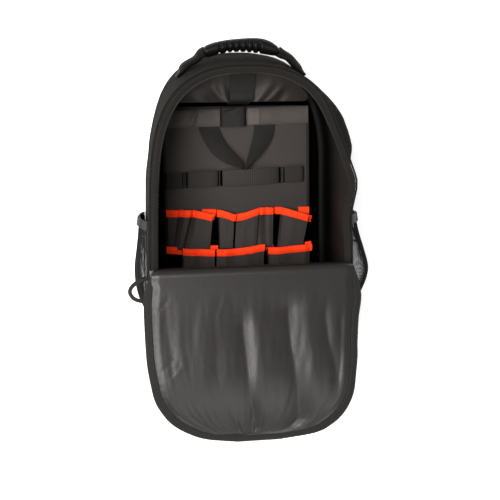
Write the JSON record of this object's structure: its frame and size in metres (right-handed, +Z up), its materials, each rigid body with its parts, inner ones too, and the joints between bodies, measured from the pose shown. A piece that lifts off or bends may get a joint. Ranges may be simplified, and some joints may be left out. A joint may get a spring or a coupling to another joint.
{
  "type": "tool backpack",
  "caption": "Charcoal tool backpack lying on its back, its zipped front panel folded down over its foot, showing a grey lining, orange-edged tool pockets and a padded top handle.",
  "frame": {"origin": "on the floor under the middle of the whole bag as it lies", "axes": "+X to the bag's right as seen from above with its top handle ahead, +Y from the foot to the top handle, +Z up out of the open front"},
  "size_m": [0.3944, 0.6442, 0.2207],
  "materials": {
    "canvas": "coarse woven nylon, matte",
    "tape": "woven zip tape, matte",
    "lining": "smooth coated lining, soft sheen",
    "panel": "smooth woven nylon, low sheen",
    "webbing": "ribbed webbing, matte",
    "binding": "folded woven binding, low sheen",
    "net": "knitted net, matte",
    "grip": "ribbed rubber, satin",
    "slider": "dark satin",
    "spacer": "knitted spacer net, matte",
    "buckle": "moulded, satin"
  },
  "bodies": {
    "root": {"body_gusset": "canvas", "back_panel": "canvas", "front_face": "canvas", "rim_piping": "tape", "rim_zip_tape": "tape", "flap_panel": "canvas", "flap_lining": "lining", "flap_border": "tape", "mesh_pocket_left": "net", "mesh_hem_left": "tape", "mesh_pocket_right": "net", "mesh_hem_right": "tape", "side_loop": "webbing", "zip_slider": "slider", "handle_grip": "grip", "handle_web_left": "webbing", "handle_web_right": "webbing", "tool_panel": "panel", "upper_lining": "lining", "centre_strap": "webbing", "panel_band": "panel", "band_keeper": "webbing", "panel_handle": "webbing", "tool_webbing": "webbing", "pocket_row_upper": "panel", "binding_upper": "binding", "pocket_row_lower": "panel", "binding_lower": "binding", "back_pad_left": "spacer", "back_pad_right": "spacer", "lumbar_pad": "spacer", "shoulder_strap_left": "spacer", "shoulder_strap_right": "spacer", "strap_webbing_left": "webbing", "strap_webbing_right": "webbing", "strap_adjuster_left": "buckle", "strap_adjuster_right": "buckle"}
  },
  "joints": []
}
